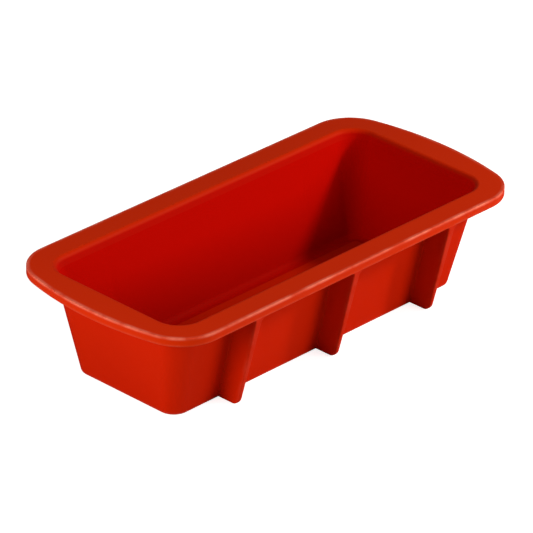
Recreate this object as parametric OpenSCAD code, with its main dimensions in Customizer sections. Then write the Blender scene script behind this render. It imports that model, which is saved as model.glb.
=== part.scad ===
// Loaf mould in flexible silicone, for soap and baking.
// X runs along the loaf, Y across it and Z up. The origin is at the middle of the underside.
// The tub is a drafted box with rounded corners. Its flat rim bows out at both ends into grips,
// and three ribs on each long side run from the rim down to the table.

/* [Cavity] */
// Length of the cavity at its top, between the end walls' planes
cavity_l = 240; // [180:1:320]
// Width of the cavity at its top, between the long walls' planes
cavity_w = 100; // [75:1:140]
// Depth from the rim's top face down to the cavity floor
cavity_depth = 60.5; // [40:0.5:75]
// Lean of the two long walls from upright, in degrees
side_draft = 13; // [4:0.5:16]
// Lean of the two end walls from upright, in degrees
end_draft = 10.3; // [4:0.1:16]
// Radius of the upright corners at the top of the cavity
corner_r = 14; // [10:0.5:20]
// Radius of the upright corners at the cavity floor
floor_corner_r = 7.5; // [6:0.5:12]
// Radius of the fillet between the cavity floor and the walls
floor_fillet_r = 4; // [2:0.5:5]

/* [Skin] */
// Thickness of the walls
wall = 2; // [1.5:0.1:4]
// Thickness of the floor
floor_t = 2; // [1.5:0.1:5]
// Radius of the outer edge between the floor and the walls
foot_edge_r = 1.5; // [0.5:0.1:1.5]

/* [Rim] */
// Width of the rim along the long sides, from the cavity wall's plane
rim_side = 15.5; // [10:0.5:25]
// Width of the rim at the middle of each end, from the cavity wall's plane
rim_end = 19; // [14:0.5:30]
// How far each end of the rim bows out over its full width
end_bow = 11.5; // [4:0.5:12]
// Radius of the rim's outer corners
rim_corner_r = 26; // [15:0.5:32]
// Thickness of the rim
rim_t = 5.3; // [4:0.1:8]
// Radius of the roll from the rim's top face into the cavity
lip_r = 3; // [1:0.5:3.5]
// Radius of the rim's outer top edge
rim_edge_r = 0.6; // [0.4:0.1:2]

/* [Ribs] */
// Distance between the ribs along each long side
rib_pitch = 75.5; // [45:0.5:85]
// Thickness of a rib at the table
rib_foot_t = 2.4; // [1.6:0.1:5]
// Thickness of a rib under the rim
rib_top_t = 4.8; // [2:0.1:8]
// How far a rib stands out from the foot of the wall, at the table
rib_reach = 13.7; // [8:0.1:20]
// Radius of a rib's lower outer corner
rib_corner_r = 6; // [2:0.5:8]

/* [Hidden] */

wall_red = [0.74, 0.10, 0.03];
rim_red = [0.70, 0.13, 0.05];
rib_red = [0.78, 0.14, 0.06];

corner_steps = 16;   // facets round a quarter corner
end_steps = 24;      // facets across one end
edge_steps = 5;      // facets round an edge, a fillet or the lip
seam_inset = 2;      // straight stretch left on an end piece before its seam

height = floor_t + cavity_depth;
rim_base = height - rim_t;
rim_half_w = cavity_w / 2 + rim_side;
rim_half_l = cavity_l / 2 + rim_end;

// Radius of the arc that the bowed end follows, for its rise over the rim's full width
bow_r = (pow(rim_half_w, 2) + pow(end_bow, 2)) / (2 * end_bow);

// Half the plane-to-plane size of the cavity at a height, for one pair of walls
function plane_half(top_half, draft, z) = top_half - (height - z) * tan(draft);

// How far the floor fillet stands in from the wall's plane at a height
function fillet_in(top_half, draft, z) =
    z >= floor_t + floor_fillet_r * (1 - sin(draft)) ? 0
    : let (centre_z = floor_t + floor_fillet_r,
           centre = plane_half(top_half, draft, centre_z) - floor_fillet_r / cos(draft))
      plane_half(top_half, draft, z) - centre
      - sqrt(max(0, pow(floor_fillet_r, 2) - pow(centre_z - z, 2)));

// How far the lip's roll has moved out from the wall's plane at a height
function lip_out(top_half, draft, z) =
    z <= height - lip_r * (1 - sin(draft)) ? 0
    : let (centre_z = height - lip_r,
           centre = plane_half(top_half, draft, centre_z) + lip_r / cos(draft))
      centre - sqrt(max(0, pow(lip_r, 2) - pow(z - centre_z, 2)))
      - plane_half(top_half, draft, z);

// Half sizes and corner radius of the cavity's surface at a height
function cavity_half_l(z) = plane_half(cavity_l / 2, end_draft, z)
    - fillet_in(cavity_l / 2, end_draft, z) + lip_out(cavity_l / 2, end_draft, z);
function cavity_half_w(z) = plane_half(cavity_w / 2, side_draft, z)
    - fillet_in(cavity_w / 2, side_draft, z) + lip_out(cavity_w / 2, side_draft, z);
function plane_corner_r(z) =
    floor_corner_r + (corner_r - floor_corner_r) * (z - floor_t) / cavity_depth;
function cavity_corner_r(z) = plane_corner_r(z)
    - fillet_in(cavity_w / 2, side_draft, z) + lip_out(cavity_w / 2, side_draft, z);

// How far the rounded foot edge stands in from the tub's outer plane at a height
function foot_in(z) = z >= foot_edge_r ? 0
    : foot_edge_r - sqrt(max(0, pow(foot_edge_r, 2) - pow(foot_edge_r - z, 2)));

// Half sizes and corner radius of the tub's outer surface at a height
function outer_half_l(z) =
    plane_half(cavity_l / 2, end_draft, z) + wall / cos(end_draft) - foot_in(z);
function outer_half_w(z) =
    plane_half(cavity_w / 2, side_draft, z) + wall / cos(side_draft) - foot_in(z);
function outer_corner_r(z) = plane_corner_r(z) + wall - foot_in(z);

// Where the rim's corner arc is centred, and the angle at which the bowed end takes over
rim_corner_y = rim_half_w - rim_corner_r;
rim_corner_x = rim_half_l - bow_r + sqrt(pow(bow_r - rim_corner_r, 2) - pow(rim_corner_y, 2));
bow_angle = asin(rim_corner_y / (bow_r - rim_corner_r));

// The end pieces start on the straight sides, clear of every corner
end_cut = min(cavity_half_l(floor_t) - cavity_corner_r(floor_t),
              plane_half(cavity_l / 2, end_draft, height) - corner_r,
              rim_corner_x) - seam_inset;

// The rounded corner of a drafted box at +X and +Y, clockwise from above
function box_corner(half_l, half_w, r, z) =
    [for (k = [0 : corner_steps]) let (a = 90 - 90 * k / corner_steps)
        [half_l - r + r * cos(a), half_w - r + r * sin(a), z]];

// Half of an end's outline for a drafted box, from the cut on the +Y side to the end's middle
function box_quarter(half_l, half_w, r, z) = concat(
    [[end_cut, half_w, z]],
    box_corner(half_l, half_w, r, z),
    [for (k = [1 : end_steps / 2]) [half_l, (half_w - r) * (1 - 2 * k / end_steps), z]]);

// The same half outline for the bowed rim, brought in by an inset
function rim_quarter(inset, z) = concat(
    [[end_cut, rim_half_w - inset, z]],
    [for (k = [0 : corner_steps])
        let (a = 90 - (90 - bow_angle) * k / corner_steps, r = rim_corner_r - inset)
        [rim_corner_x + r * cos(a), rim_corner_y + r * sin(a), z]],
    [for (k = [1 : end_steps / 2])
        let (a = bow_angle * (1 - 2 * k / end_steps), r = bow_r - inset)
        [rim_half_l - bow_r + r * cos(a), r * sin(a), z]]);

// Completes a half outline round the +X end, from the +Y cut to the -Y cut
function whole_end(quarter) = concat(quarter,
    [for (i = [len(quarter) - 2 : -1 : 0]) [quarter[i].x, -quarter[i].y, quarter[i].z]]);

// Completes a corner into a closed outline, clockwise from above
function whole_loop(corner) = concat(corner,
    [for (i = [len(corner) - 1 : -1 : 0]) [corner[i].x, -corner[i].y, corner[i].z]],
    [for (p = corner) [-p.x, -p.y, p.z]],
    [for (i = [len(corner) - 1 : -1 : 0]) [-corner[i].x, corner[i].y, corner[i].z]]);

function cavity_end(z) =
    whole_end(box_quarter(cavity_half_l(z), cavity_half_w(z), cavity_corner_r(z), z));
function outer_end(z) =
    whole_end(box_quarter(outer_half_l(z), outer_half_w(z), outer_corner_r(z), z));
function rim_end_line(inset, z) = whole_end(rim_quarter(inset, z));

// A closed solid through sections that each have the same number of points. The points of
// the first section run clockwise as seen from outside the solid.
module through_sections(sections) {
    n = len(sections[0]);
    last = len(sections) - 1;
    sides = [for (s = [0 : last - 1]) for (i = [0 : n - 1])
        [s * n + i, (s + 1) * n + i, (s + 1) * n + (i + 1) % n, s * n + (i + 1) % n]];
    caps = [[for (i = [0 : n - 1]) i], [for (i = [n - 1 : -1 : 0]) last * n + i]];
    points = [for (section = sections) each section];
    polyhedron(points = points, faces = concat(sides, caps), convexity = 4);
}

// Turns levels, a list of outlines, into sections: one section per point along the outlines
function sections_along(levels) =
    [for (i = [0 : len(levels[0]) - 1]) [for (level = levels) level[i]]];

// Heights down the inside of a wall, from the rim's underside to the cavity floor
fillet_top = floor_t + floor_fillet_r * (1 - sin(min(side_draft, end_draft)));
fillet_heights = [for (k = [edge_steps : -1 : 0])
    floor_t + (fillet_top - floor_t) * (1 - cos(90 * k / edge_steps))];
inner_heights = concat([rim_base], fillet_heights);

// Heights round the lip, from the rim's top face down to where the cavity's wall is plane
lip_bottom = height - lip_r * (1 - sin(min(side_draft, end_draft)));
lip_heights = [for (k = [0 : edge_steps])
    height - (height - lip_bottom) * (1 - cos(90 * k / edge_steps))];

// Angles round the rim's outer top edge, from its side face to its top face
edge_angles = [for (k = [0 : edge_steps]) 90 * k / edge_steps];
function edge_inset(a) = rim_edge_r * (1 - cos(a));
function edge_z(a) = height - rim_edge_r * (1 - sin(a));

// Extrudes a flat shape drawn in Y and Z along X, between the two end cuts
module along_sides() {
    rotate([90, 0, 90]) linear_extrude(height = 2 * end_cut, center = true) children();
}

// Cross-section of a long wall on the +Y side
module side_wall_section() {
    polygon(concat(
        [[outer_half_w(floor_t), floor_t], [outer_half_w(rim_base), rim_base]],
        [for (z = inner_heights) [cavity_half_w(z), z]]));
}

// Cross-section of the rim on the +Y side
module side_rim_section() {
    polygon(concat(
        [[rim_half_w, rim_base]],
        [for (a = edge_angles) [rim_half_w - edge_inset(a), edge_z(a)]],
        [for (z = lip_heights) [cavity_half_w(z), z]],
        [[cavity_half_w(rim_base), rim_base]]));
}

// The end wall with its two upright corners, at the +X end
module end_wall() {
    color(wall_red) through_sections(sections_along(concat(
        [outer_end(floor_t), outer_end(rim_base)],
        [for (z = inner_heights) cavity_end(z)])));
}

// The bowed end of the rim with its two corners, at the +X end
module grip() {
    color(rim_red) through_sections(sections_along(concat(
        [rim_end_line(0, rim_base)],
        [for (a = edge_angles) rim_end_line(edge_inset(a), edge_z(a))],
        [for (z = lip_heights) cavity_end(z)],
        [cavity_end(rim_base)])));
}

// Outline of a rib on the +Y side, as points in Y and Z: up the wall, under the rim and down
// the sloping outer edge to the rounded lower corner
function rib_outline() =
    let (foot_y = outer_half_w(foot_edge_r) + rib_reach,
         lean = atan((rim_half_w - foot_y) / rim_base),
         turn = 90 - lean,
         corner_in = rib_corner_r * tan(turn / 2),
         centre = [foot_y - corner_in, rib_corner_r])
    concat(
        [for (k = [0 : edge_steps]) let (z = foot_edge_r * k / edge_steps) [outer_half_w(z), z]],
        [[outer_half_w(rim_base), rim_base], [rim_half_w, rim_base]],
        [for (k = [0 : 2 * edge_steps]) let (a = -lean - (90 - lean) * k / (2 * edge_steps))
            centre + rib_corner_r * [cos(a), sin(a)]]);

// Half the thickness of a rib at a height
function rib_half_t(z) = (rib_foot_t + (rib_top_t - rib_foot_t) * z / rim_base) / 2;

// One rib: side is 1 on the back and -1 on the front, slot counts from the middle along X
module rib(side, slot) {
    outline = rib_outline();
    sections = [for (face = [1, -1])
        [for (p = outline) [face * rib_half_t(p.y), p.x, p.y]]];
    color(rib_red) translate([slot * rib_pitch, 0, 0])
        mirror([0, side > 0 ? 0 : 1, 0]) through_sections(sections);
}

// Heights down the outside of the floor plate, from its top round the foot edge to the table
floor_heights = concat([floor_t],
    [for (k = [edge_steps : -1 : 0])
        let (z = foot_edge_r * (1 - cos(90 * k / edge_steps))) if (z < floor_t) z]);

module floor() {
    color(wall_red) through_sections([for (z = floor_heights)
        whole_loop(box_corner(outer_half_l(z), outer_half_w(z), outer_corner_r(z), z))]);
}

module back_wall() { color(wall_red) along_sides() side_wall_section(); }
module front_wall() { color(wall_red) mirror([0, 1, 0]) along_sides() side_wall_section(); }
module right_end_wall() { end_wall(); }
module left_end_wall() { mirror([1, 0, 0]) end_wall(); }

module back_rim() { color(rim_red) along_sides() side_rim_section(); }
module front_rim() { color(rim_red) mirror([0, 1, 0]) along_sides() side_rim_section(); }
module right_grip() { grip(); }
module left_grip() { mirror([1, 0, 0]) grip(); }

module rib_front_left() { rib(-1, -1); }
module rib_front_middle() { rib(-1, 0); }
module rib_front_right() { rib(-1, 1); }
module rib_back_left() { rib(1, -1); }
module rib_back_middle() { rib(1, 0); }
module rib_back_right() { rib(1, 1); }

floor();
front_wall();
back_wall();
left_end_wall();
right_end_wall();
front_rim();
back_rim();
left_grip();
right_grip();
rib_front_left();
rib_front_middle();
rib_front_right();
rib_back_left();
rib_back_middle();
rib_back_right();
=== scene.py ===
import math

import bpy
import numpy as np
from mathutils import Matrix, Vector

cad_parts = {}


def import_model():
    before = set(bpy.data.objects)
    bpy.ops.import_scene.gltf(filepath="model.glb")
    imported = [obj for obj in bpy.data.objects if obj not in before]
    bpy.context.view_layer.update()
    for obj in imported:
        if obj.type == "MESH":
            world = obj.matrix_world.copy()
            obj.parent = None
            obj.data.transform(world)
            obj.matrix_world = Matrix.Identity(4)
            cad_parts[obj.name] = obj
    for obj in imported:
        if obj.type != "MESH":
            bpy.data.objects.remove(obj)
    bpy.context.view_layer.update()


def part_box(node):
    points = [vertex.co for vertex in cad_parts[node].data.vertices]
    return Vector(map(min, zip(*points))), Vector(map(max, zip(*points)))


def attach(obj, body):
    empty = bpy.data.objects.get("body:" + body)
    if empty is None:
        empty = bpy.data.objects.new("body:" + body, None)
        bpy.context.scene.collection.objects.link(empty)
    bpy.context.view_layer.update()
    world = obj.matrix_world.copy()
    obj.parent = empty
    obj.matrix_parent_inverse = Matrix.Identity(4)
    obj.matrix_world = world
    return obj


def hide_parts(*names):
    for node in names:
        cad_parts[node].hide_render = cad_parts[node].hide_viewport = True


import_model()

MM = 0.001

# ---------------------------------------------------------------- sizes read from the frame

floor_low, floor_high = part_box("floor")
wall_low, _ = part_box("front_wall")
_, end_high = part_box("right_end_wall")
side_rim_low, side_rim_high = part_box("front_rim")
grip_low, grip_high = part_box("right_grip")
rib_low, rib_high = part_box("rib_front_right")

HEIGHT = grip_high.z
FLOOR_T = floor_high.z
RIM_BASE = side_rim_low.z
RIM_HALF_W = -side_rim_low.y
RIM_HALF_L = grip_high.x
END_CUT = grip_low.x

TUB_RISE = RIM_BASE - FLOOR_T
SIDE_SLOPE = (floor_low.y - wall_low.y) / TUB_RISE
END_SLOPE = (end_high.x - floor_high.x) / TUB_RISE
WALL_ACROSS = side_rim_high.y - wall_low.y
WALL = WALL_ACROSS / math.hypot(1, SIDE_SLOPE)

RIB_PITCH = (rib_low.x + rib_high.x) / 2
RIB_TOP_T = rib_high.x - rib_low.x

# ---------------------------------------------------------------- sizes of the moulded detail

CORNER_R = 14 * MM            # upright corners at the top of the cavity
FLOOR_CORNER_R = 7.5 * MM     # upright corners at the cavity floor
FLOOR_FILLET_R = 4 * MM       # between the cavity floor and the walls
LIP_R = 3 * MM                # roll from the rim's top into the cavity
RIM_EDGE_R = 0.6 * MM         # rim's outer top edge
RIM_UNDER_R = 0.8 * MM        # rim's outer bottom edge
UNDER_FILLET_R = 2 * MM       # between the rim's underside and the walls
FOOT_EDGE_R = 1.5 * MM        # outer edge of the underside
RIM_CORNER_R = 26 * MM        # rim's outer corners
END_BOW = 11.5 * MM           # rise of the bowed rim ends
FLOOR_STRIP = 4.5 * MM        # flat strip of the floor that each wall carries
FOOT_STRIP = 2.5 * MM         # flat strip of the underside next to the foot edge

RIB_FOOT_T = 2.4 * MM         # rib thickness at the table
RIB_REACH = 13.7 * MM         # how far a rib stands out at the table
RIB_CORNER_R = 6 * MM         # rib's lower outer corner
RIB_EDGE_R = 0.8 * MM         # rounding of a rib's edges
RIB_ROOT_R = 0.8 * MM         # fillet between a rib and the wall
RIB_LEFT_FLARE = 0.9 * MM     # fillets between a rib's two sides and the rim's underside
RIB_RIGHT_FLARE = 2.6 * MM
RIB_FACE_BLEND = 2 * MM       # rib face easing into the rim's side
RIB_SUNK = 1 * MM             # how far a rib's hidden back lies inside the wall

SINK_DEPTH = 0.2 * MM         # shrinkage dents inside the long walls, behind the ribs
SINK_HALF_W = 3.2 * MM
SINK_FOOT_FADE = 1 / 4        # share of a wall's columns over which a dent fades out below
SINK_TOP_FADE = 1 / 5         # and above

ARC_STEPS = 10                # stretches round an arc of the section
WALL_STEPS = 24               # up a wall, inside and outside
RIM_STEPS = 8                 # across the rim's top
RIM_SIDE_STEPS = 4            # down the rim's side, and across its underside
CORNER_STEPS = 28             # round an upright corner, seen from above
END_STEPS = 24                # across half of an end
SIDE_STEPS = 130              # along a long side
RIB_CORNER_ROWS = 15          # up a rib's lower outer corner
RIB_CORNER_TURN = 80          # degrees of that corner that have rows of their own
RIB_ROWS = 12                 # up the rest of a rib
RIB_SWING_ROWS = 11           # round the fillet under the rim
RIB_OUT_STEPS = 6             # from the wall out to a rib's face

WELD = 0.00001 * MM           # points closer than this are one vertex
NO_LENGTH = 1e-12             # keeps a normal of no length from being divided by zero


# ---------------------------------------------------------------- curves and grids

def rounded_run(corners, radii, legs):
    """Points along straight legs between corners, each inner corner turned into an arc. Each
    leg is cut into its own number of equal stretches.

    An arc starts and ends at radius x tan(half the turn) from its corner. It is the rational
    quadratic curve through those two points whose middle weight is cos(half the turn), which
    is a true circle. A radius of None keeps the corner as one point. Returns the points and,
    for each inner corner, the first and last index of its arc."""
    corners = [np.asarray(c, float) for c in corners]
    t = np.linspace(0, 1, ARC_STEPS + 1)
    stretches = [(corners[0], corners[0])]
    for before, corner, after, radius in zip(corners, corners[1:], corners[2:], radii):
        if radius is None:
            stretches.append((corner, corner))
            continue
        coming = corner - before
        coming = coming / np.linalg.norm(coming, axis=-1, keepdims=True)
        going = after - corner
        going = going / np.linalg.norm(going, axis=-1, keepdims=True)
        cosine = np.sum(coming * going, axis=-1, keepdims=True)
        weight = np.sqrt((1 + cosine) / 2)
        reach = radius * np.sqrt((1 - cosine) / (1 + cosine))
        stretches.append((corner - coming * reach, corner, corner + going * reach, weight))
    stretches.append((corners[-1], corners[-1]))
    points = [corners[0]]
    marks = []
    for number, stretch in enumerate(stretches[1:]):
        start = points[-1]
        for step in range(1, legs[number] + 1):
            share = step / legs[number]
            points.append(start * (1 - share) + stretch[0] * share)
        first = len(points) - 1
        if len(stretch) == 4:
            begin, corner, finish, weight = stretch
            for s in t[1:]:
                over = (1 - s) ** 2 * begin + 2 * weight * s * (1 - s) * corner + s ** 2 * finish
                under = (1 - s) ** 2 + 2 * weight * s * (1 - s) + s ** 2
                points.append(over / under)
        marks.append((first, len(points) - 1))
    return np.stack(points), marks[:-1]


def grid_normals(points):
    """Unit normals of a grid of points: the cross product of its two directions."""
    normals = np.cross(np.gradient(points, axis=0), np.gradient(points, axis=1))
    return normals / np.maximum(np.linalg.norm(normals, axis=-1, keepdims=True), NO_LENGTH)


def patch(points, normals=None, **paint):
    """A grid of points with its normals and the named values painted on it."""
    if normals is None:
        normals = grid_normals(points)
    return {"points": points, "normals": normals, "paint": paint}


def solid(name, patches, caps, paints):
    """Welds patches and flat caps into one closed mesh that keeps each patch's own normals.

    Points that coincide become one vertex. The sign of the volume, the summed triple products
    of the faces' corners, says whether the faces have to be turned outwards. A cap faces away
    from the middle of the vertices."""
    points, quads, quad_normals = [], [], []
    values = {paint: [] for paint in paints}
    offset = 0
    for item in patches:
        grid, normals = item["points"], item["normals"]
        rows, columns = grid.shape[:2]
        index = offset + np.arange(rows * columns).reshape(rows, columns)
        quad = np.stack([index[:-1, :-1], index[1:, :-1], index[1:, 1:], index[:-1, 1:]], -1)
        quads.append(quad.reshape(-1, 4))
        quad_normals.append(normals.reshape(-1, 3)[quads[-1] - offset])
        points.append(grid.reshape(-1, 3))
        for paint in paints:
            value = item["paint"].get(paint, 0.0)
            values[paint].append(np.broadcast_to(value, (rows, columns)).reshape(-1))
        offset += rows * columns
    points = np.concatenate(points + caps)
    keys = np.round(points / WELD).astype(np.int64)
    _, first, merged = np.unique(keys, axis=0, return_index=True, return_inverse=True)
    merged = merged.reshape(-1)
    vertices = points[first]
    quads = merged[np.concatenate(quads)]
    quad_normals = np.concatenate(quad_normals)

    a, b, c, d = (vertices[quads[:, k]] for k in range(4))
    volume = np.sum(np.cross(a, b) * c) + np.sum(np.cross(a, c) * d)
    if volume < 0:
        quads = quads[:, ::-1]
        quad_normals = -quad_normals[:, ::-1]

    centre = vertices.mean(0)
    cap_faces, cap_normals = [], []
    for cap in caps:
        face = merged[offset:offset + len(cap)]
        offset += len(cap)
        corners = vertices[face]
        area = np.cross(corners, np.roll(corners, -1, axis=0)).sum(0)
        if np.dot(area, corners.mean(0) - centre) < 0:
            face = face[::-1]
            area = -area
        cap_faces.append(face.tolist())
        cap_normals.append(np.tile(area / np.linalg.norm(area), (len(face), 1)))

    mesh = bpy.data.meshes.new(name)
    mesh.from_pydata(vertices.tolist(), [], quads.tolist() + cap_faces)
    mesh.polygons.foreach_set("use_smooth", np.ones(len(mesh.polygons), bool))
    for paint in paints:
        layer = mesh.attributes.new(paint, "FLOAT", "POINT")
        layer.data.foreach_set("value", np.concatenate(values[paint])[first].astype(np.float32))
    loop_normals = np.concatenate([quad_normals.reshape(-1, 3)] + cap_normals)
    mesh.normals_split_custom_set(loop_normals.tolist())
    mesh.update()
    piece = bpy.data.objects.new(name, mesh)
    bpy.context.scene.collection.objects.link(piece)
    return piece


# ---------------------------------------------------------------- the moulded skin

def plane_half(at_rim_base, slope, z):
    """Half the distance between two opposite wall planes at a height."""
    return at_rim_base + (z - RIM_BASE) * slope


# Half the width and length between the cavity's walls and outside them, at the rim's base
CAVITY_W = -side_rim_high.y
CAVITY_L = end_high.x - WALL * math.hypot(1, END_SLOPE)
OUTER_W = -wall_low.y
OUTER_L = end_high.x


def skin_profile(cavity, outer, slope, rim_half):
    """The skin's section on one side, as distance from the middle and height.

    It runs from the cavity floor up the wall, over the lip, across the rim, down its side,
    back under it and down the outside to the underside."""
    corners = [
        (plane_half(cavity, slope, FLOOR_T) - FLOOR_STRIP, FLOOR_T),
        (plane_half(cavity, slope, FLOOR_T), FLOOR_T),
        (plane_half(cavity, slope, RIM_BASE), RIM_BASE),
        (plane_half(cavity, slope, HEIGHT), HEIGHT),
        (rim_half, HEIGHT),
        (rim_half, RIM_BASE),
        (outer, RIM_BASE),
        (plane_half(outer, slope, FLOOR_T), FLOOR_T),
        (plane_half(outer, slope, 0), 0),
        (plane_half(outer, slope, 0) - FOOT_STRIP, 0),
    ]
    radii = [FLOOR_FILLET_R, None, LIP_R, RIM_EDGE_R, RIM_UNDER_R, UNDER_FILLET_R, None, FOOT_EDGE_R]
    steps = [1, WALL_STEPS, 2, RIM_STEPS, RIM_SIDE_STEPS, RIM_SIDE_STEPS, WALL_STEPS, 1, 1]
    return rounded_run(corners, radii, steps)


side_line, arcs = skin_profile(CAVITY_W, OUTER_W, SIDE_SLOPE, RIM_HALF_W)
end_line, _ = skin_profile(CAVITY_L, OUTER_L, END_SLOPE, RIM_HALF_L)
FILLET, INNER_SEAM, LIP, TOP_EDGE, BOTTOM_EDGE, UNDER_FILLET, OUTER_SEAM, FOOT = arcs

columns = np.arange(len(side_line))
# 0 where a column follows the tub's outline and 1 where it follows the rim's bowed outline
on_rim = np.interp(columns, [LIP[1], TOP_EDGE[0], BOTTOM_EDGE[1], UNDER_FILLET[0]], [0, 1, 1, 0])


def tub_outline(half_l, half_w, r):
    """Half of one end's outline of a rounded box, for each column: from the cut on the +Y
    side round a quarter circle about the corner's centre to the middle of the end."""
    turn = np.radians(np.linspace(90, 0, CORNER_STEPS + 1))[:, None]
    ahead = np.linspace(0, 1, END_STEPS + 1)[1:, None]
    corner_x = half_l - r + r * np.cos(turn)
    corner_y = half_w - r + r * np.sin(turn)
    start_x = np.stack([np.full_like(half_l, END_CUT), (END_CUT + half_l - r) / 2])
    x = np.concatenate([start_x, corner_x, np.broadcast_to(half_l, (END_STEPS, len(half_l)))])
    y = np.concatenate([np.stack([half_w, half_w]), corner_y, (half_w - r) * (1 - ahead)])
    return np.stack([x, y], -1)


def rim_outline(inset):
    """Half of one end's outline of the rim, brought in by an inset: a straight side, an arc
    about the corner's centre, then the shallow arc of the bowed end, which meet tangentially."""
    bow_r = (RIM_HALF_W ** 2 + END_BOW ** 2) / (2 * END_BOW)
    corner_y = RIM_HALF_W - RIM_CORNER_R
    corner_x = RIM_HALF_L - bow_r + math.sqrt((bow_r - RIM_CORNER_R) ** 2 - corner_y ** 2)
    bow_angle = math.asin(corner_y / (bow_r - RIM_CORNER_R))
    turn = np.linspace(math.pi / 2, bow_angle, CORNER_STEPS + 1)[:, None]
    sweep = bow_angle * (1 - np.linspace(0, 1, END_STEPS + 1)[1:, None])
    start_x = np.stack([np.full_like(inset, END_CUT), np.full_like(inset, (END_CUT + corner_x) / 2)])
    start_y = np.stack([RIM_HALF_W - inset, RIM_HALF_W - inset])
    x = np.concatenate([
        start_x,
        corner_x + (RIM_CORNER_R - inset) * np.cos(turn),
        RIM_HALF_L - bow_r + (bow_r - inset) * np.cos(sweep)])
    y = np.concatenate([
        start_y,
        corner_y + (RIM_CORNER_R - inset) * np.sin(turn),
        (bow_r - inset) * np.sin(sweep)])
    return np.stack([x, y], -1)


def end_grid():
    """The skin round the +X end: each column's outline, with heights turning from the side's
    section to the end's by the square of the cosine of the corner's angle."""
    across_top = (columns > LIP[1]) & (columns < TOP_EDGE[1])
    outside = columns >= TOP_EDGE[1]
    tub_columns = np.where(across_top, LIP[1], columns)
    tub_columns = np.where(outside, np.maximum(columns, UNDER_FILLET[0]), tub_columns)
    half_w, z_side = side_line[tub_columns].T
    half_l = end_line[tub_columns, 0]
    plane = plane_half(CAVITY_W, SIDE_SLOPE, z_side)
    corner = FLOOR_CORNER_R + (CORNER_R - FLOOR_CORNER_R) * (z_side - FLOOR_T) / (HEIGHT - FLOOR_T)
    tub = tub_outline(half_l, half_w, corner + half_w - plane)
    rim_columns = np.clip(columns, TOP_EDGE[0], BOTTOM_EDGE[1])
    rim = rim_outline(RIM_HALF_W - side_line[rim_columns, 0])
    flat = tub * (1 - on_rim[:, None]) + rim * on_rim[:, None]
    facing = np.concatenate([
        np.zeros(2),
        np.sin(np.linspace(0, math.pi / 2, CORNER_STEPS + 1)) ** 2,
        np.ones(END_STEPS)])[:, None]
    height = side_line[:, 1] * (1 - facing) + end_line[:, 1] * facing
    half = np.concatenate([flat, height[..., None]], -1)
    other = half[-2::-1] * [1, -1, 1]
    return np.concatenate([half, other])


def side_grid():
    """The skin along the +Y side: the section carried along X. Behind each rib the cavity's
    wall sinks in by a bell curve, exp(-(distance / half width) squared), which fades out
    towards the floor and the lip."""
    x = np.linspace(-END_CUT, END_CUT, SIDE_STEPS + 1)
    grid = np.empty((len(x), len(columns), 3))
    grid[..., 0] = x[:, None]
    grid[..., 1:] = side_line
    bells = sum(np.exp(-((x - slot * RIB_PITCH) / SINK_HALF_W) ** 2) for slot in (-1, 0, 1))
    up = np.clip((columns - FILLET[1]) / (LIP[0] - FILLET[1]), 0, 1)
    fade = np.clip(up / SINK_FOOT_FADE, 0, 1) * np.clip((1 - up) / SINK_TOP_FADE, 0, 1)
    grid[..., 1] += SINK_DEPTH * bells[:, None] * fade
    return grid


TOP_EDGE_RUB_AND_HIGHLIGHT = 0.9            # share of rubbing and painted highlight on the edges, from 0 to 1
BOTTOM_EDGE_RUB_AND_HIGHLIGHT = 0.15
FOOT_RUB_AND_HIGHLIGHT = 0.3
RIB_RUB_AND_HIGHLIGHT = 0.12

# How much each column is rubbed smoother and carries a painted highlight, and whether it lies in the
# cavity, whose colour is a painted shade
rubbed = np.zeros(len(columns))
for (first, last), amount in ((TOP_EDGE, TOP_EDGE_RUB_AND_HIGHLIGHT), (BOTTOM_EDGE, BOTTOM_EDGE_RUB_AND_HIGHLIGHT), (FOOT, FOOT_RUB_AND_HIGHLIGHT)):
    rubbed[first:last + 1] = amount
cavity = np.interp(columns, [LIP[0], LIP[1]], [1, 0])
PAINTS = ("rubbed", "cavity")

side_skin = side_grid()
end_skin = end_grid()
side_normals = grid_normals(side_skin)
end_normals = grid_normals(end_skin)


def skin_patch(grid, normals, first, last):
    """The stretch of the skin between two columns."""
    return patch(grid[:, first:last + 1], normals[:, first:last + 1],
                 rubbed=rubbed[first:last + 1], cavity=cavity[first:last + 1])


def under_floor_line(grid):
    """The hidden step by which a wall stands in the floor: from the outer seam inwards, at
    half the floor's thickness, to the edge of the wall's strip of floor."""
    strip = grid[:, 0]
    lowered = strip - [0, 0, FLOOR_T / 2]
    return np.stack([grid[:, OUTER_SEAM[0]], lowered, strip], 1)


def ends_of(patches):
    """The two flat end faces of patches that close a ring across the grid."""
    return [np.concatenate([item["points"][row, :-1] for item in patches]) for row in (0, -1)]


def wall_parts(grid, normals):
    """A wall: its inner face, its hidden top, its outer face and its hidden foot."""
    inner = skin_patch(grid, normals, 0, INNER_SEAM[0])
    top = patch(np.stack([grid[:, INNER_SEAM[0]], grid[:, UNDER_FILLET[0]]], 1))
    outer = skin_patch(grid, normals, UNDER_FILLET[0], OUTER_SEAM[0])
    step = under_floor_line(grid)
    return [inner, top, outer, patch(step[:, :2]), patch(step[:, 1:])]


def rim_parts(grid, normals):
    """A stretch of rim: its whole outer skin, closed across the top of the wall."""
    skin = skin_patch(grid, normals, INNER_SEAM[0], UNDER_FILLET[0])
    under = patch(np.stack([grid[:, UNDER_FILLET[0]], grid[:, INNER_SEAM[0]]], 1))
    return [skin, under]


def mirrored(parts, flip):
    """Patches reflected by a sign for each axis, with their rows reversed to keep facing out.
    Paint goes by column, so it stays as it is."""
    flip = np.array(flip, float)
    turned = []
    for item in parts:
        turned.append(patch(item["points"][::-1] * flip, item["normals"][::-1] * flip, **item["paint"]))
    return turned


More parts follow.
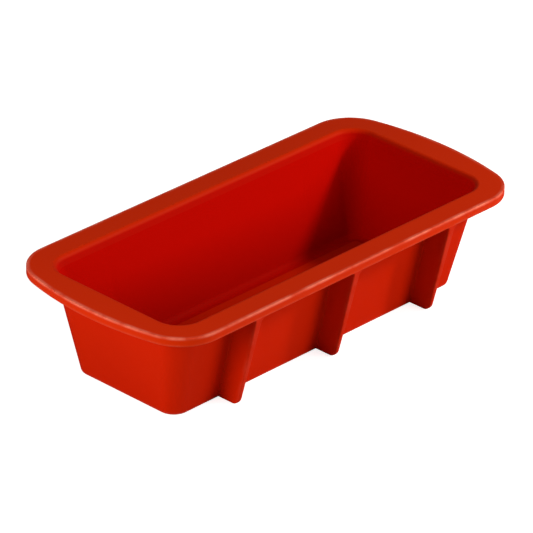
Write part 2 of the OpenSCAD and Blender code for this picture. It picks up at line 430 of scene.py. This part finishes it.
def floor_piece():
    """The floor: rings that follow the whole outline, closed by two flat faces."""
    stretches = [(side_skin, side_normals, (1, 1, 1)), (end_skin, end_normals, (1, 1, 1)),
                 (side_skin, side_normals, (-1, -1, 1)), (end_skin, end_normals, (-1, -1, 1))]
    patches, top, bottom = [], [], []
    for grid, normals, flip in stretches:
        flip = np.array(flip, float)
        step = under_floor_line(grid)[:, ::-1]
        outer = skin_patch(grid, normals, OUTER_SEAM[0], len(columns) - 1)
        parts = [patch(step[:, :2]), patch(step[:, 1:]), outer]
        for item in parts:
            patches.append(patch(item["points"] * flip, item["normals"] * flip, **item["paint"]))
        top.append(grid[:-1, 0] * flip)
        bottom.append(grid[:-1, -1] * flip)
    return solid("mould_floor", patches, [np.concatenate(top), np.concatenate(bottom)], PAINTS)


# ---------------------------------------------------------------- ribs

THIN_RIB_SHARE = 0.8          # most of a rib's half thickness that its edge rounding takes
FACE_OVERRUN = 1.15           # how far onto the face each half runs, in edge radii


def rib_wall(z):
    """Outer face of a long wall at a height, with the rounded foot edge."""
    low = np.clip(FOOT_EDGE_R - z, 0, FOOT_EDGE_R)
    foot = FOOT_EDGE_R - np.sqrt(FOOT_EDGE_R ** 2 - low ** 2)
    return plane_half(OUTER_W, SIDE_SLOPE, z) - foot


def rib_face(z):
    """Outer edge of a rib at a height: a round lower corner, a sloping line, and a parabola
    that eases it into the upright side of the rim."""
    foot_y = rib_wall(FOOT_EDGE_R) + RIB_REACH
    slope = (RIM_HALF_W - foot_y) / RIM_BASE
    line = foot_y + slope * z
    over = np.clip(z - (RIM_BASE - RIB_FACE_BLEND), 0, 2 * RIB_FACE_BLEND)
    line = line - slope * over ** 2 / (4 * RIB_FACE_BLEND) - slope * np.clip(
        z - RIM_BASE - RIB_FACE_BLEND, 0, None)
    turn = math.pi / 2 - math.atan(slope)
    centre = foot_y - RIB_CORNER_R * math.tan(turn / 2)
    low = np.clip(RIB_CORNER_R - z, 0, RIB_CORNER_R)
    round_y = centre + np.sqrt(RIB_CORNER_R ** 2 - low ** 2)
    tangent_z = RIB_CORNER_R * (1 - math.sin(math.atan(slope)))
    return np.where(z < tangent_z, round_y, line)


def rib_half(sign, flare):
    """One half of a rib, as rows from the table to the rim's side.

    Each row starts on the wall, turns by the root fillet onto the rib's side, runs out and
    turns by the edge rounding onto the face. Up to the rim rows are level. The last rows
    swing down by a quarter turn, so that the same section follows the fillet under the rim."""
    low = RIB_CORNER_R * (1 - np.cos(np.radians(np.linspace(0, RIB_CORNER_TURN, RIB_CORNER_ROWS))))
    straight = np.linspace(low[-1], RIM_BASE - flare, RIB_ROWS)[1:]
    swing = np.linspace(0, math.pi / 2, RIB_SWING_ROWS)[1:]
    z = np.concatenate([low, straight, RIM_BASE - flare + flare * np.sin(swing)])
    angle = np.concatenate([np.zeros(len(low) + len(straight)), swing])
    half_t = (RIB_FOOT_T + (RIB_TOP_T - RIB_FOOT_T) * z / RIM_BASE) / 2
    foot = np.clip(RIB_EDGE_R - z, 0, RIB_EDGE_R)
    half_t = half_t - RIB_EDGE_R + np.sqrt(RIB_EDGE_R ** 2 - foot ** 2)
    x = half_t + flare * (1 - np.cos(angle))
    edge_r = np.minimum(RIB_EDGE_R, THIN_RIB_SHARE * half_t)
    away_x, away_z = np.cos(angle), -np.sin(angle)

    def at(distance, y_of):
        """Points at a distance to the side of the rib's edge, on the wall or on the face."""
        height = z + away_z * distance
        return np.stack([sign * (x + away_x * distance), y_of(height), height], -1)

    corners = [at(2 * RIB_ROOT_R, rib_wall), at(0, rib_wall), at(0, rib_face),
               at(-FACE_OVERRUN * edge_r, rib_face)]
    run, turns = rounded_run(corners, [RIB_ROOT_R, edge_r[:, None]], [1, RIB_OUT_STEPS, 1])
    rub = np.zeros(len(run))
    # the rib's edge rounding and face are rubbed smoother and carry a painted highlight
    rub[turns[1][0]:] = RIB_RUB_AND_HIGHLIGHT
    return np.swapaxes(run, 0, 1), rub


def rib_piece(name, side, slot):
    """A rib: its two halves joined across the face, closed by a hidden back in the wall."""
    left, left_rub_and_highlight = rib_half(-1, RIB_LEFT_FLARE)
    right, right_rub_and_highlight = rib_half(1, RIB_RIGHT_FLARE)
    skin = np.concatenate([left, right[:, ::-1]], 1)
    normals = grid_normals(skin)[:, 1:-1]
    skin = skin[:, 1:-1]
    rub = np.concatenate([left_rub_and_highlight, right_rub_and_highlight[::-1]])[1:-1]
    sunk = np.stack([skin[:, -1], skin[:, -1] - [0, RIB_SUNK, 0],
                     skin[:, 0] - [0, RIB_SUNK, 0], skin[:, 0]], 1)
    parts = [patch(skin, normals, rubbed=rub)]
    parts += [patch(sunk[:, k:k + 2]) for k in range(3)]
    flip = np.array([1, side, 1], float)
    place = np.array([slot * RIB_PITCH, 0, 0])
    parts = [patch(p["points"] * flip + place, p["normals"] * flip, **p["paint"]) for p in parts]
    if side < 0:
        parts = mirrored(parts, (1, 1, 1))
    return solid(name, parts, ends_of(parts), PAINTS)


# ---------------------------------------------------------------- material

def node_group(name, inputs, outputs):
    """An empty shader group with named sockets, given as (name, socket type, value)."""
    group = bpy.data.node_groups.new(name, "ShaderNodeTree")
    for label, kind, value in inputs:
        socket = group.interface.new_socket(name=label, in_out="INPUT", socket_type=kind)
        if value is not None:
            socket.default_value = value
    for label, kind in outputs:
        group.interface.new_socket(name=label, in_out="OUTPUT", socket_type=kind)
    entry = group.nodes.new("NodeGroupInput")
    leave = group.nodes.new("NodeGroupOutput")
    return group, entry.outputs, leave.inputs


def add(tree, kind, settings=None, links=None, **values):
    """Adds a node: settings are its properties, values and links go to its named sockets."""
    node = tree.nodes.new(kind)
    for key, value in (settings or {}).items():
        setattr(node, key, value)
    for key, value in values.items():
        node.inputs[key.replace("_", " ")].default_value = value
    for key, source in (links or {}).items():
        tree.links.new(source, node.inputs[key])
    return node


def feed(tree, socket, source):
    """Sets a socket from a number or a colour, or links it to another socket."""
    if isinstance(source, (int, float, tuple)):
        socket.default_value = source
    else:
        tree.links.new(source, socket)


def math_node(tree, operation, *sources):
    """A Math node on its sources, each a socket or a number."""
    node = add(tree, "ShaderNodeMath", {"operation": operation})
    for socket, source in zip(node.inputs, sources):
        feed(tree, socket, source)
    return node.outputs[0]


def blend(tree, share, start, finish):
    """A colour between two others, each a socket or a colour. Sockets 6, 7 and output 2 are
    the ones of a Mix node that carry colours."""
    node = add(tree, "ShaderNodeMix", {"data_type": "RGBA"}, {"Factor": share})
    feed(tree, node.inputs[6], start)
    feed(tree, node.inputs[7], finish)
    return node.outputs[2]


def mapped(tree, source, low, high, to_low, to_high):
    """Maps a value from one range to another, held at both ends."""
    node = add(tree, "ShaderNodeMapRange", {"clamp": True}, {"Value": source})
    for key, value in (("From Min", low), ("From Max", high), ("To Min", to_low), ("To Max", to_high)):
        node.inputs[key].default_value = value
    return node.outputs["Result"]


FLECK_SHARE = 0.3             # how much the flecks count beside the clouds


def make_pigment_cloud():
    """Colour that drifts a little between two pigments, in broad clouds and small flecks."""
    group, given, made = node_group(
        "pigment_cloud",
        [("Position", "NodeSocketVector", None), ("Pigment", "NodeSocketColor", (1, 0, 0, 1)),
         ("Drift", "NodeSocketColor", (0.8, 0, 0, 1)), ("Cloud Scale", "NodeSocketFloat", 20.0),
         ("Amount", "NodeSocketFloat", 0.5)],
        [("Color", "NodeSocketColor")])
    cloud = add(group, "ShaderNodeTexNoise", None,
                {"Vector": given["Position"], "Scale": given["Cloud Scale"]}, Detail=3.0, Roughness=0.5)
    fleck = add(group, "ShaderNodeTexNoise", None, {"Vector": given["Position"]},
                Scale=650.0, Detail=2.0)
    both = math_node(group, "MULTIPLY_ADD", fleck.outputs[0], FLECK_SHARE, cloud.outputs[0])
    share = math_node(group, "MULTIPLY", mapped(group, both, 0.35, 0.95, 0.0, 1.0), given["Amount"])
    group.links.new(blend(group, share, given["Pigment"], given["Drift"]), made["Color"])
    return group


def make_blasted_grain():
    """Height of the satin texture that a blasted tool leaves: fine grain on a soft ripple."""
    group, given, made = node_group(
        "blasted_grain",
        [("Position", "NodeSocketVector", None), ("Grain Scale", "NodeSocketFloat", 2200.0),
         ("Ripple Scale", "NodeSocketFloat", 90.0), ("Ripple", "NodeSocketFloat", 1.0)],
        [("Height", "NodeSocketFloat")])
    grain = add(group, "ShaderNodeTexNoise", None,
                {"Vector": given["Position"], "Scale": given["Grain Scale"]}, Detail=2.0)
    ripple = add(group, "ShaderNodeTexNoise", None,
                 {"Vector": given["Position"], "Scale": given["Ripple Scale"]}, Detail=1.0)
    waves = math_node(group, "MULTIPLY", ripple.outputs[0], given["Ripple"])
    group.links.new(math_node(group, "ADD", grain.outputs[0], waves), made["Height"])
    return group


def make_handling_and_highlight():
    """Masks of use and of painted light: a haze of dulled patches, and edges in broken stretches that are
    rubbed smoother and carry a painted highlight.
    """
    group, given, made = node_group(
        "handling_and_highlight_marks",
        [("Position", "NodeSocketVector", None), ("Rubbed And Highlit", "NodeSocketFloat", 0.0),
         ("Haze Scale", "NodeSocketFloat", 35.0)],
        [("Haze", "NodeSocketFloat"), ("Wear And Highlight", "NodeSocketFloat")])
    haze = add(group, "ShaderNodeTexNoise", None,
               {"Vector": given["Position"], "Scale": given["Haze Scale"]}, Detail=5.0, Roughness=0.6)
    group.links.new(mapped(group, haze.outputs[0], 0.35, 0.7, 0.0, 1.0), made["Haze"])
    breaks = add(group, "ShaderNodeTexNoise", None, {"Vector": given["Position"]},
                 Scale=90.0, Detail=3.0)
    share = mapped(group, breaks.outputs[0], 0.35, 0.6, 0.2, 1.0)
    group.links.new(math_node(group, "MULTIPLY", share, given["Rubbed And Highlit"]), made["Wear And Highlight"])
    return group


PIGMENT_CLOUD = make_pigment_cloud()
BLASTED_GRAIN = make_blasted_grain()
HANDLING_AND_HIGHLIGHT = make_handling_and_highlight()

RED = (0.60, 0.015, 0.0001, 1)
DEEP_RED = (0.56, 0.012, 0.0001, 1)
# painted sheen: the rim's colours are a lighter, more orange copy of the tub's, for the light its top
# catches
RIM_SHEEN_RED = (0.63, 0.024, 0.0001, 1)
RIM_SHEEN_DEEP_RED = (0.61, 0.021, 0.0001, 1)
# painted shade: the cavity's colour is darker and redder, for the shade and red interreflection inside it
CAVITY_SHADE_RED = (0.50, 0.002, 0.0001, 1)
PAINTED_HIGHLIGHT_RED = (0.90, 0.23, 0.15, 1)      # painted highlight: a paler colour on the edges that stands in for the light they catch
WARM_SHEEN = (1, 0.32, 0.08, 1)       # tint of what the surface reflects head on
SILICONE_IOR = 1.41

OUTSIDE_ROUGHNESS = 0.50
CAVITY_ROUGHNESS = 0.62
HAZE_ROUGHENS = 0.05
RUBBING_SMOOTHS = 0.36
GRAIN_DEPTH = 0.03 * MM


def silicone(name, pigment, drift, highlight_share, gloss):
    """Satin red silicone. The cavity is duller than the outside, and its colour is darker and
    redder as a painted shade. Rubbed edges are smoother, and paler as a painted highlight."""
    material = bpy.data.materials.new(name)
    material.use_nodes = True
    tree = material.node_tree
    shader = tree.nodes["Principled BSDF"]
    place = tree.nodes.new("ShaderNodeTexCoord").outputs["Object"]
    rub = add(tree, "ShaderNodeAttribute", {"attribute_name": "rubbed"}).outputs["Fac"]
    inside = add(tree, "ShaderNodeAttribute", {"attribute_name": "cavity"}).outputs["Fac"]

    cloud = add(tree, "ShaderNodeGroup", {"node_tree": PIGMENT_CLOUD}, {"Position": place},
                Pigment=pigment, Drift=drift, Cloud_Scale=22.0, Amount=0.6)
    handling_and_highlight = add(tree, "ShaderNodeGroup", {"node_tree": HANDLING_AND_HIGHLIGHT},
                   {"Position": place, "Rubbed And Highlit": rub}, Haze_Scale=38.0)
    grain = add(tree, "ShaderNodeGroup", {"node_tree": BLASTED_GRAIN}, {"Position": place},
                Grain_Scale=2400.0, Ripple_Scale=110.0, Ripple=1.6)
    haze, wear_and_highlight = handling_and_highlight.outputs["Haze"], handling_and_highlight.outputs["Wear And Highlight"]

    # painted shade: the cavity takes the darker, redder colour
    body = blend(tree, inside, cloud.outputs["Color"], CAVITY_SHADE_RED)
    # painted highlight: the rubbed edges take the paler colour
    colour = blend(tree, math_node(tree, "MULTIPLY", wear_and_highlight, highlight_share), body, PAINTED_HIGHLIGHT_RED)
    tree.links.new(colour, shader.inputs["Base Color"])

    rough = mapped(tree, inside, 0.0, 1.0, OUTSIDE_ROUGHNESS, CAVITY_ROUGHNESS)
    rough = math_node(tree, "MULTIPLY_ADD", haze, HAZE_ROUGHENS, rough)
    rough = math_node(tree, "MULTIPLY_ADD", wear_and_highlight, -RUBBING_SMOOTHS, rough)
    tree.links.new(rough, shader.inputs["Roughness"])

    bump = add(tree, "ShaderNodeBump", None, {"Height": grain.outputs["Height"]},
               Strength=0.35, Distance=GRAIN_DEPTH)
    tree.links.new(bump.outputs["Normal"], shader.inputs["Normal"])
    shader.inputs["IOR"].default_value = SILICONE_IOR
    shader.inputs["Specular IOR Level"].default_value = gloss
    shader.inputs["Specular Tint"].default_value = WARM_SHEEN
    return material


TUB_SILICONE = silicone("tub_silicone", RED, DEEP_RED, highlight_share=0.5, gloss=0.06)
# the rim's copy of the silicone, with painted sheen in its colours
RIM_SILICONE = silicone("rim_silicone", RIM_SHEEN_RED, RIM_SHEEN_DEEP_RED, highlight_share=0.7, gloss=0.30)


# ---------------------------------------------------------------- the pieces

def settle(piece, node, material):
    """Gives a piece its finish, and puts it in the place of its CAD node."""
    piece.data.materials.append(material)
    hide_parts(node)
    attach(piece, "root")


back_wall = wall_parts(side_skin, side_normals)
back_rim = rim_parts(side_skin, side_normals)
right_wall = wall_parts(end_skin, end_normals)
right_rim = rim_parts(end_skin, end_normals)
OVER_X, OVER_Y = (-1, 1, 1), (1, -1, 1)

for name, parts, node, material in (
    ("back_wall_skin", back_wall, "back_wall", TUB_SILICONE),
    ("front_wall_skin", mirrored(back_wall, OVER_Y), "front_wall", TUB_SILICONE),
    ("right_end_skin", right_wall, "right_end_wall", TUB_SILICONE),
    ("left_end_skin", mirrored(right_wall, OVER_X), "left_end_wall", TUB_SILICONE),
    ("back_rim_skin", back_rim, "back_rim", RIM_SILICONE),
    ("front_rim_skin", mirrored(back_rim, OVER_Y), "front_rim", RIM_SILICONE),
    ("right_grip_skin", right_rim, "right_grip", RIM_SILICONE),
    ("left_grip_skin", mirrored(right_rim, OVER_X), "left_grip", RIM_SILICONE),
):
    settle(solid(name, parts, ends_of(parts), PAINTS), node, material)

settle(floor_piece(), "floor", TUB_SILICONE)

for side_name, side in (("front", -1), ("back", 1)):
    for slot_name, slot in (("left", -1), ("middle", 0), ("right", 1)):
        node = f"rib_{side_name}_{slot_name}"
        settle(rib_piece(node + "_skin", side, slot), node, TUB_SILICONE)


# ---------------------------------------------------------------- floor, light and camera

TABLE_HALF = 3.0              # metres from the middle of the table to its edge
TABLE_GAP = 0.02 * MM         # between the table and the underside
TABLE_WHITE = 0.65            # how much light the table gives back
TABLE_IN_GLOSS = 0.1          # the same, as the silicone's sheen sees it
TABLE_GLOW = 0.85             # near the mould, and 1 far off
GLOW_NEAR = 0.25              # metres from the mould within which it is near, and past
GLOW_FAR = 1.5                # which it is far off
FILL = 0.09                   # even light from all round
LAMP_COLOUR = (1, 0.96, 0.90)


def backdrop():
    """A plain pale floor. It glows to the camera only, and more so far off, so that it meets
    the white behind it without a line."""
    half = TABLE_HALF
    mesh = bpy.data.meshes.new("table")
    mesh.from_pydata([(-half, -half, 0), (half, -half, 0), (half, half, 0), (-half, half, 0)], [],
                     [(0, 1, 2, 3)])
    table = bpy.data.objects.new("table", mesh)
    table.location.z = -TABLE_GAP
    bpy.context.scene.collection.objects.link(table)
    material = bpy.data.materials.new("white_table")
    material.use_nodes = True
    tree = material.node_tree
    shader = tree.nodes["Principled BSDF"]
    shader.inputs["Roughness"].default_value = 0.9
    shader.inputs["Specular IOR Level"].default_value = 0.1
    shader.inputs["Emission Color"].default_value = (1, 1, 1, 1)
    path = tree.nodes.new("ShaderNodeLightPath").outputs
    place = tree.nodes.new("ShaderNodeTexCoord").outputs["Object"]
    reach = add(tree, "ShaderNodeVectorMath", {"operation": "LENGTH"}, {0: place})
    glow = mapped(tree, reach.outputs["Value"], GLOW_NEAR, GLOW_FAR, TABLE_GLOW, 1.0)
    tree.links.new(math_node(tree, "MULTIPLY", path["Is Camera Ray"], glow),
                   shader.inputs["Emission Strength"])
    tree.links.new(mapped(tree, path["Is Glossy Ray"], 0.0, 1.0, TABLE_WHITE, TABLE_IN_GLOSS),
                   shader.inputs["Base Color"])
    mesh.materials.append(material)


def world():
    """White to the camera, and a weak even light for everything else."""
    scene_world = bpy.data.worlds.new("studio")
    bpy.context.scene.world = scene_world
    scene_world.use_nodes = True
    tree = scene_world.node_tree
    background = tree.nodes["Background"]
    background.inputs["Color"].default_value = (1, 1, 1, 1)
    seen = tree.nodes.new("ShaderNodeLightPath").outputs["Is Camera Ray"]
    tree.links.new(mapped(tree, seen, 0.0, 1.0, FILL, 1.0), background.inputs["Strength"])


def direction(azimuth, elevation):
    """Unit vector from the mould towards a place in the studio. Azimuth 0 is the front."""
    a, e = math.radians(azimuth), math.radians(elevation)
    return Vector((math.sin(a) * math.cos(e), -math.cos(a) * math.cos(e), math.sin(e)))


def softbox(name, azimuth, elevation, distance, width, height, power, glints):
    """A rectangular area light that faces the mould, in metres, degrees and watts. Without
    glints it isn't reflected in gloss."""
    data = bpy.data.lights.new(name, "AREA")
    data.shape = "RECTANGLE"
    data.size = width
    data.size_y = height
    data.energy = power
    data.color = LAMP_COLOUR
    light = bpy.data.objects.new(name, data)
    light.visible_glossy = glints
    towards = direction(azimuth, elevation)
    light.location = Vector((0, 0, HEIGHT / 2)) + towards * distance
    light.rotation_euler = towards.to_track_quat("Z", "Y").to_euler()
    bpy.context.scene.collection.objects.link(light)


def camera(azimuth, elevation, roll, distance, lens, aim_right, aim_up):
    """A long lens that looks along a direction, rolled a little, at a point beside the middle
    of the mould."""
    back = direction(azimuth, elevation)
    a, r = math.radians(azimuth), math.radians(roll)
    level = Vector((math.cos(a), math.sin(a), 0))
    above = back.cross(level)
    right = math.cos(r) * level + math.sin(r) * above
    up = -math.sin(r) * level + math.cos(r) * above
    data = bpy.data.cameras.new("camera")
    data.lens = lens
    data.sensor_width = 36
    data.clip_start = 0.1
    data.clip_end = 20
    eye = bpy.data.objects.new("camera", data)
    target = Vector((0, 0, HEIGHT / 2)) + aim_right * right + aim_up * up
    turn = Matrix((right, up, back)).transposed().to_4x4()
    eye.matrix_world = Matrix.Translation(target + back * distance) @ turn
    bpy.context.scene.collection.objects.link(eye)
    bpy.context.scene.camera = eye


camera(azimuth=-46.70, elevation=27.96, roll=1.20, distance=2.6882, lens=333.87,
       aim_right=-1.05 * MM, aim_up=4.10 * MM)
backdrop()
world()
softbox("front_softbox", azimuth=25, elevation=22, distance=1.5,
        width=0.65, height=0.5, power=11.6, glints=False)
softbox("left_softbox", azimuth=-93, elevation=19, distance=0.55,
        width=0.24, height=0.22, power=1.7, glints=False)
softbox("edge_light", azimuth=49.5, elevation=33, distance=0.9,
        width=0.08, height=0.12, power=4.2, glints=True)
bpy.context.scene.view_settings.view_transform = "Standard"
